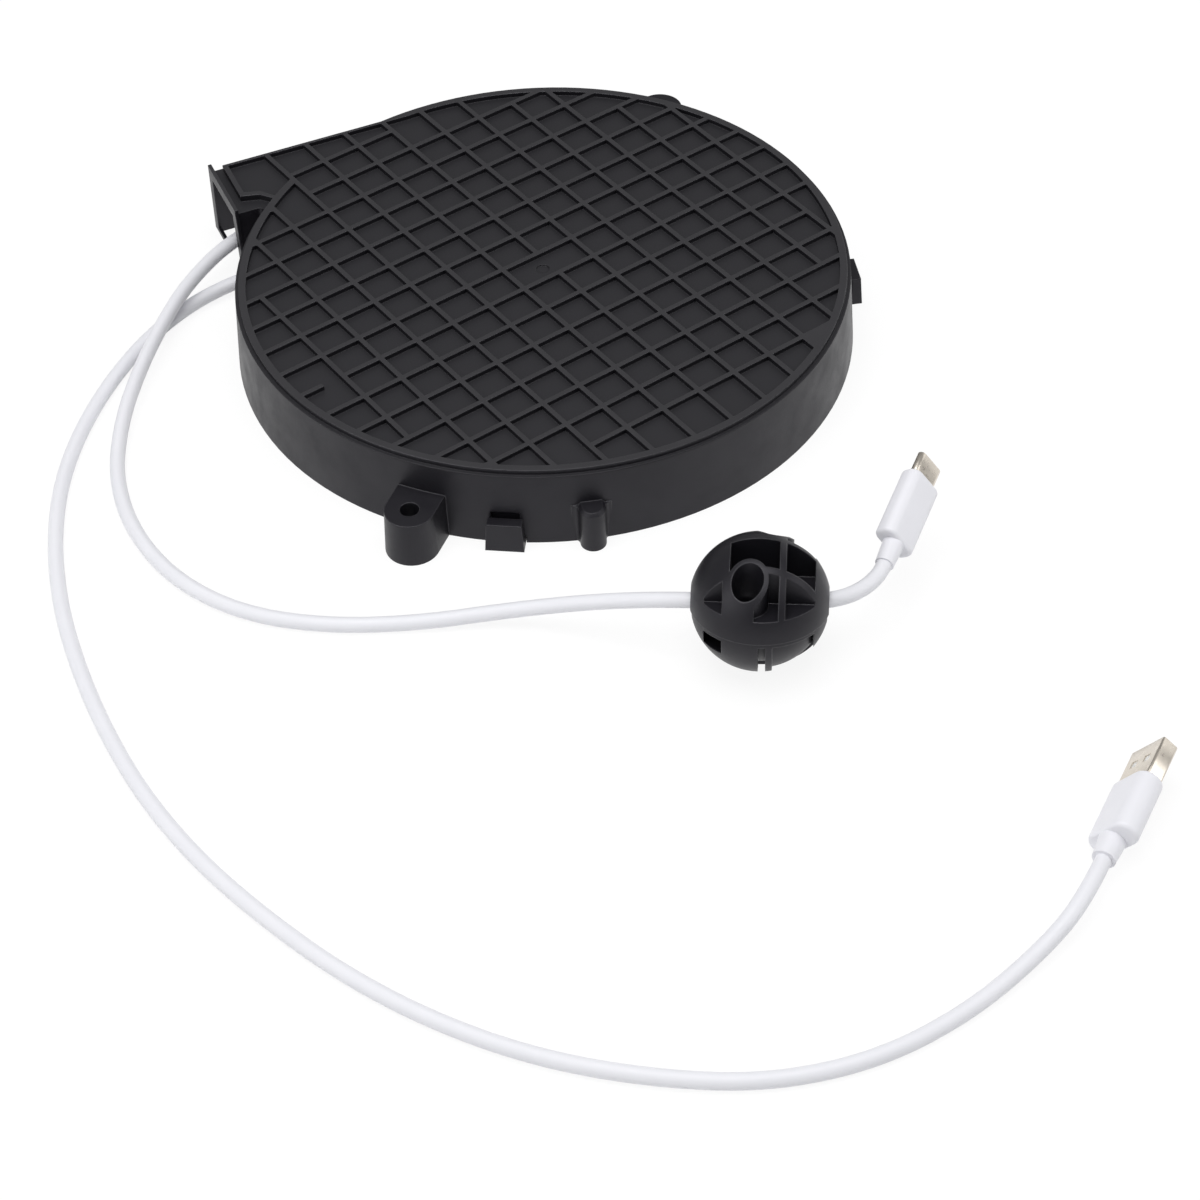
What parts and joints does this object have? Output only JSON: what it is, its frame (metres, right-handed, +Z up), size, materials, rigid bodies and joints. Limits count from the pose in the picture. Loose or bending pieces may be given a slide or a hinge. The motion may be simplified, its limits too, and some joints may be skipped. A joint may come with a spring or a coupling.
{
  "type": "retractable charging cable",
  "caption": "Round spring reel with a ribbed case, mounting ears and a tangent outlet; its pull cable carries a clamped stop ball and a small plug, and a fixed lead ends in a large plug.",
  "frame": {"origin": "drum axis on the underside of the lower cover, the plane that the reel lies on", "axes": "+Z up along the drum axis, -X the way the cable leaves the outlet duct, +Y towards the duct's side of the case"},
  "size_m": [0.2441, 0.3453, 0.0338],
  "materials": {
    "black_plastic": "satin moulded",
    "inner_plastic": "moulded",
    "pale_plastic": "moulded",
    "white_jacket": "smooth soft jacket",
    "white_mould": "smooth moulded",
    "plug_plastic": "moulded",
    "plug_steel": "nickel plated",
    "screw_steel": "plated",
    "shaft_steel": "turned",
    "spring_steel": "rolled strip",
    "board": "coated board",
    "copper": "bare",
    "gold": "plated",
    "wire_cover": "insulated wire"
  },
  "bodies": {
    "case": {"upper_case": "black_plastic", "lower_cover": "black_plastic", "stop_ball_upper": "black_plastic", "stop_ball_lower": "black_plastic", "case_screws": "screw_steel", "ball_screws": "screw_steel", "clamp_screws": "screw_steel", "spindle": "shaft_steel", "pawl_pin": "shaft_steel", "track_board": "board", "track_rings": "copper", "lead_wires": "wire_cover", "lead_clamp": "inner_plastic", "pawl_spring": "spring_steel", "pull_cable": "white_jacket", "fixed_lead": "white_jacket", "type_c_overmould": "white_mould", "type_a_overmould": "white_mould", "type_c_shell": "plug_steel", "type_a_shell": "plug_steel", "type_c_insert": "plug_plastic", "type_a_insert": "plug_plastic", "type_a_contacts": "gold"},
    "drum": {"drum": "inner_plastic", "drum_flange": "inner_plastic", "spring_plate": "inner_plastic", "power_spring": "spring_steel", "cable_winding": "white_jacket", "brush_carrier": "inner_plastic", "brushes": "copper"},
    "pawl": {"latch_pawl": "pale_plastic"}
  },
  "joints": [
    {"name": "drum_spin", "type": "hinge", "parent": "case", "child": "drum", "pos_m": [0, 0, 0.0126], "axis": [0, 0, 1], "range_deg": [-270, 1080]},
    {"name": "pawl_swing", "type": "hinge", "parent": "case", "child": "pawl", "pos_m": [0.03865, -0.06694, 0.0076], "axis": [0, 0, 1], "range_deg": [0, 17], "stiffness_Nm_per_rad": 0.01}
  ]
}
